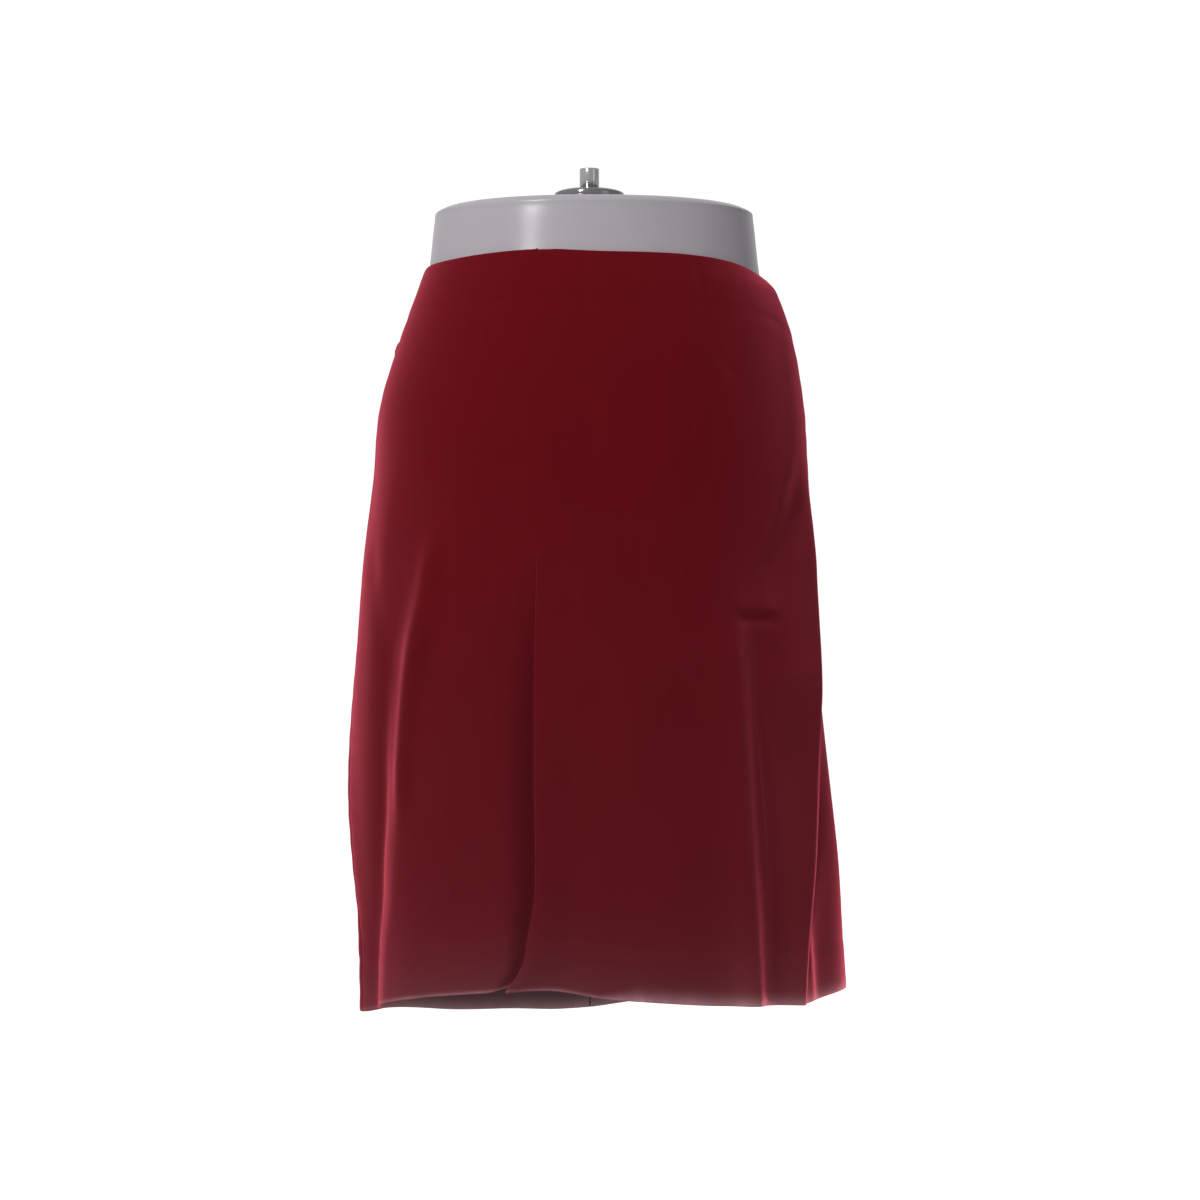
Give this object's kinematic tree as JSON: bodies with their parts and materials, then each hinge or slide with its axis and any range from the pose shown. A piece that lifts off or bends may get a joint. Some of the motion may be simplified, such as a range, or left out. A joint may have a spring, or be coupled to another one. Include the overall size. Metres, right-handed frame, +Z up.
{
  "type": "wrap skirt on a hanging hip form",
  "caption": "Knee-length wrap skirt with soft side folds, filled out by a limbless hip form that hangs from a short rod.",
  "frame": {"origin": "middle of the hanging rod's upper end, where the form is held", "axes": "+Z up along the rod; the front of the skirt faces -Y; +X is the viewer's right when facing the front"},
  "size_m": [0.3948, 0.2643, 0.679],
  "materials": {
    "skirt_cloth": "dense dark crimson cloth with a short soft nap, deep when faced and pinkish at a glancing angle, the same crimson inside",
    "form_plastic": "smooth satin mauve-grey",
    "chrome": "polished"
  },
  "bodies": {
    "root": {"skirt_front_overlap": "skirt_cloth", "skirt_front_underlap": "skirt_cloth", "skirt_back_left": "skirt_cloth", "skirt_back_right": "skirt_cloth", "hip_form": "form_plastic", "rod_flange": "chrome", "hanging_rod": "chrome"}
  },
  "joints": []
}
